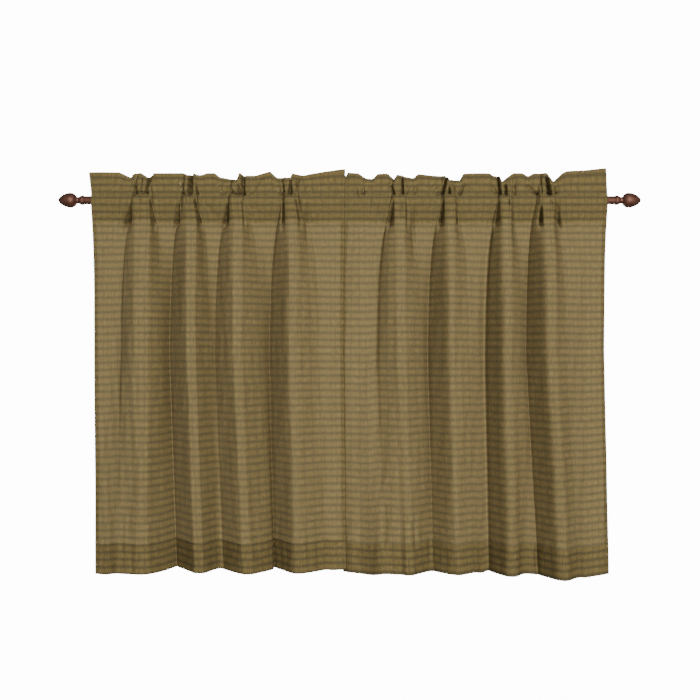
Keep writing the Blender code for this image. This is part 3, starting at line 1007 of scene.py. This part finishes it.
def cotton_material(settings):
    """Yarn-dyed plain-weave cotton: matt, softly flecked, with a slate check."""
    material, tree = new_material("yarn_dyed_cotton")
    cloth = add_node(tree, 'UVMap', uv_map="cloth")
    size = add_node(tree, 'VectorMath', {0: cloth, 'Scale': 1.0 / MM}, operation='SCALE')
    split = add_node(tree, 'SeparateXYZ', (size,))
    across, down = split.outputs[0], split.outputs[1]
    flecks = []
    for fleck in FLECKS:
        grain = add_node(
            tree, 'Mapping',
            {'Vector': size, 'Scale': (1.0 / fleck.across, 1.0 / fleck.down, 1.0)})
        flecks.append(add_node(
            tree, 'TexNoise',
            {'Vector': grain, 'Scale': 1.0, 'Detail': fleck.detail,
             'Roughness': fleck.roughness}))
    colour = cotton_colour(tree, across, down, flecks, settings)
    # Plain weave: yarns pass over and under each other, a little thicker here and there.
    yarns = []
    for coordinate in (across, down):
        turn = add_node(
            tree, 'Math', (coordinate, 2 * math.pi / YARN_PITCH), operation='MULTIPLY')
        yarns.append(add_node(tree, 'Math', (turn,), operation='SINE'))
    weave = add_node(tree, 'Math', yarns, operation='MULTIPLY')
    slub = add_node(tree, 'Math', (weave, flecks[0]), operation='ADD')
    bump = add_node(tree, 'Bump', {'Height': slub, 'Strength': 0.25, 'Distance': 0.0002})
    shader = add_node(
        tree, 'BsdfPrincipled',
        {'Base Color': colour, 'Roughness': 0.92, 'Normal': bump, 'Specular IOR Level': 0.12})
    glow = add_node(
        tree, 'Mix', {0: 0.3, 6: linear(settings.glow), 7: colour},
        data_type='RGBA').outputs[2]
    through = add_node(tree, 'BsdfTranslucent', {'Color': glow})
    mixed = add_node(tree, 'MixShader', (SEEN_THROUGH, shader, through))
    add_node(tree, 'OutputMaterial', {'Surface': mixed})
    return material


def thread_material(settings):
    """Spun polyester thread: matt, with the twist of its plies as fine slanting bands."""
    material, tree = new_material("spun_thread")
    place = add_node(tree, 'TexCoord').outputs['Object']
    plies = add_node(
        tree, 'TexWave',
        {'Vector': place, 'Scale': 2200.0, 'Distortion': 0.6, 'Detail': 1.0},
        bands_direction='DIAGONAL').outputs['Fac']
    colour = add_node(
        tree, 'Mix',
        {0: plies, 6: linear(settings.thread), 7: linear(settings.ground)},
        data_type='RGBA').outputs[2]
    twist = add_node(
        tree, 'Bump', {'Height': plies, 'Strength': 0.4, 'Distance': 0.00005})
    shader = add_node(
        tree, 'BsdfPrincipled',
        {'Base Color': colour, 'Roughness': 0.75, 'Normal': twist})
    add_node(tree, 'OutputMaterial', {'Surface': shader})
    return material


def bronze_material(settings, name):
    """Oil-rubbed bronze paint: dark brown, satin, lighter where handling has rubbed it."""
    material, tree = new_material(name)
    place = add_node(tree, 'TexCoord').outputs['Object']
    # Brush strokes run along the rod, about 7 mm long and 1 mm wide.
    brushed = add_node(
        tree, 'Mapping', {'Vector': place, 'Scale': (140.0, 900.0, 900.0)})
    streak = add_node(
        tree, 'TexNoise',
        {'Vector': brushed, 'Scale': 1.0, 'Detail': 3.0, 'Roughness': 0.5})
    patch = add_node(
        tree, 'TexNoise',
        {'Vector': place, 'Scale': 90.0, 'Detail': 2.0, 'Roughness': 0.5})
    # Each turns noise between its first two numbers into its last two.
    stroke_share = add_node(tree, 'MapRange', (streak, 0.35, 0.7, 0.0, 1.0))
    patch_share = add_node(tree, 'MapRange', (patch, 0.35, 0.65, 0.2, 0.9))
    roughness = add_node(tree, 'MapRange', (patch, 0.3, 0.7, 0.54, 0.64))
    rubbed = add_node(tree, 'Math', (stroke_share, patch_share), operation='MULTIPLY')
    colour = add_node(
        tree, 'Mix',
        {0: rubbed, 6: linear(settings.bronze), 7: linear(settings.worn)},
        data_type='RGBA').outputs[2]
    grain = add_node(
        tree, 'Bump', {'Height': streak, 'Strength': 0.12, 'Distance': 0.0002})
    shader = add_node(
        tree, 'BsdfPrincipled',
        {'Base Color': colour, 'Metallic': 0.75, 'Roughness': roughness, 'Normal': grain})
    add_node(tree, 'OutputMaterial', {'Surface': shader})
    return material


# ---------------------------------------------------------------- operators

class CURTAIN_OT_add_panels(bpy.types.Operator):
    """Add both gathered panels, each a strip folded over at its heading and hem"""
    bl_idname = "curtain.add_panels"
    bl_label = "Add Panels"

    def execute(self, context):
        settings = context.scene.curtain_cloth
        material = cotton_material(settings)
        thread = thread_material(settings)
        panels = (
            ("curtain_left", "panel_left", LEFT_PANEL, LEFT_TOP, LEFT_CREASES, 3),
            ("curtain_right", "panel_right", RIGHT_PANEL, RIGHT_TOP, RIGHT_CREASES, 11),
        )
        for name, node, rows, top_edge, creases, seed in panels:
            points, across, down, strip = panel_points(rows, top_edge, creases, settings, seed)
            piece = cloth_grid(points, across, down)
            shade_smooth(piece)
            apply_modifier(
                piece, 'SOLIDIFY', "cloth thickness",
                thickness=settings.thickness, offset=0.0)
            finish_piece(piece, name, material, node)
            stitching = sew_panel(points, across, strip, settings)
            finish_piece(stitching, name.replace("curtain", "stitching"), thread)
        return {'FINISHED'}


class CURTAIN_OT_add_rod(bpy.types.Operator):
    """Add the rod, a steel tube with open ends"""
    bl_idname = "curtain.add_rod"
    bl_label = "Add Rod"

    def execute(self, context):
        settings = context.scene.curtain_metal
        (low_x, low_y, _), (high_x, high_y, _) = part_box("rod")
        rod = tube(0.5 * (high_y - low_y), high_x - low_x, settings.wall)
        finish_piece(rod, "curtain_rod", bronze_material(settings, "bronze_steel"), "rod")
        return {'FINISHED'}


class CURTAIN_OT_add_finials(bpy.types.Operator):
    """Add an acorn finial at each end of the rod"""
    bl_idname = "curtain.add_finials"
    bl_label = "Add Finials"

    def execute(self, context):
        settings = context.scene.curtain_metal
        material = bronze_material(settings, "bronze_resin")
        rod_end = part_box("rod")[1][0]
        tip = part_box("finial_right")[1][0] - rod_end
        spigot = rod_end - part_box("finial_right")[0][0]
        outline = finial_outline(settings, tip, spigot)
        for name, side in (("left", -1), ("right", 1)):
            finial = turned_piece([(side * (rod_end + along), out) for along, out in outline])
            finish_piece(finial, "acorn_" + name, material, "finial_" + name)
        return {'FINISHED'}


WHITE = (1.0, 1.0, 1.0, 1.0)
CAMERA_X = 0.001         # how far the camera stands to the right of the middle
FLOOR_SIZE = 16.0
PAPER_GLOW = 14.0        # how brightly the paper behind and below shows
ROOM_LIGHT = 0.06        # how much of it falls back on the curtains
KEY_WATTS = 535
WINDOW_WATTS = 38
AIM = Vector((0.0, 0.0, -0.4))   # the middle of the curtains, where the lights point


def area_light(name, place, size, watts):
    light = bpy.data.lights.new(name, 'AREA')
    light.shape = 'RECTANGLE'
    light.size, light.size_y = size
    light.energy = watts
    lamp = bpy.data.objects.new(name, light)
    bpy.context.scene.collection.objects.link(lamp)
    lamp.location = place
    lamp.rotation_euler = (AIM - lamp.location).to_track_quat('-Z', 'Y').to_euler()
    return lamp


class CURTAIN_OT_set_stage(bpy.types.Operator):
    """Set the camera, the soft studio light and the pale floor"""
    bl_idname = "curtain.set_stage"
    bl_label = "Set Stage"

    def execute(self, context):
        settings = context.scene.curtain_stage
        scene = context.scene
        lens = bpy.data.cameras.new("camera")
        lens.lens = settings.lens
        lens.sensor_width = 36.0
        camera = bpy.data.objects.new("camera", lens)
        scene.collection.objects.link(camera)
        camera.location = (CAMERA_X, -settings.distance, settings.camera_height)
        camera.rotation_euler = (math.radians(90), 0.0, 0.0)
        scene.camera = camera
        deselect()
        bpy.ops.mesh.primitive_plane_add(
            size=FLOOR_SIZE, location=(0.0, 0.0, -settings.floor_drop))
        floor = context.object
        floor.name = "floor"
        # White paper lit from all round: a plain pale ground without shadows.
        material, tree = new_material("white_paper")
        glow = add_node(tree, 'Emission', {'Color': WHITE, 'Strength': PAPER_GLOW})
        add_node(tree, 'OutputMaterial', {'Surface': glow})
        floor.data.materials.append(material)
        for light in ("diffuse", "glossy", "transmission", "shadow"):
            setattr(floor, "visible_" + light, False)
        world = bpy.data.worlds.new("studio")
        scene.world = world
        world.use_nodes = True
        tree = world.node_tree
        tree.nodes.clear()
        path = add_node(tree, 'LightPath')
        strength = add_node(
            tree, 'MapRange',
            (path.outputs['Is Camera Ray'], 0.0, 1.0, ROOM_LIGHT, PAPER_GLOW))
        air = add_node(tree, 'Background', {'Color': WHITE, 'Strength': strength})
        add_node(tree, 'OutputWorld', {'Surface': air})
        area_light("key", (0.85, -6.0, 0.5), (2.8, 2.8), KEY_WATTS)
        back = area_light("window light", (0.0, 1.6, -0.3), (2.0, 1.6), WINDOW_WATTS)
        back.visible_camera = False
        return {'FINISHED'}


class CURTAIN_PT_sidebar(bpy.types.Panel):
    """Lists the curtain's operators and settings"""
    bl_idname = "CURTAIN_PT_sidebar"
    bl_label = "Tier Curtain"
    bl_space_type = 'VIEW_3D'
    bl_region_type = 'UI'
    bl_category = "Curtain"

    def draw(self, context):
        layout = self.layout
        for group in ("curtain_cloth", "curtain_metal", "curtain_stage"):
            settings = getattr(context.scene, group)
            for name in settings.__annotations__:
                layout.prop(settings, name)
        for operator in OPERATORS:
            layout.operator(operator.bl_idname)


SETTINGS = (
    ("curtain_cloth", ClothSettings),
    ("curtain_metal", MetalSettings),
    ("curtain_stage", StageSettings),
)
OPERATORS = (
    CURTAIN_OT_add_panels,
    CURTAIN_OT_add_rod,
    CURTAIN_OT_add_finials,
    CURTAIN_OT_set_stage,
)


def register():
    for name, group in SETTINGS:
        bpy.utils.register_class(group)
        setattr(bpy.types.Scene, name, PointerProperty(type=group))
    for operator in OPERATORS:
        bpy.utils.register_class(operator)
    bpy.utils.register_class(CURTAIN_PT_sidebar)


def unregister():
    bpy.utils.unregister_class(CURTAIN_PT_sidebar)
    for operator in reversed(OPERATORS):
        bpy.utils.unregister_class(operator)
    for name, group in reversed(SETTINGS):
        delattr(bpy.types.Scene, name)
        bpy.utils.unregister_class(group)


def main():
    register()
    bpy.ops.curtain.add_panels()
    bpy.ops.curtain.add_rod()
    bpy.ops.curtain.add_finials()
    bpy.ops.curtain.set_stage()


if __name__ == "__main__":
    main()
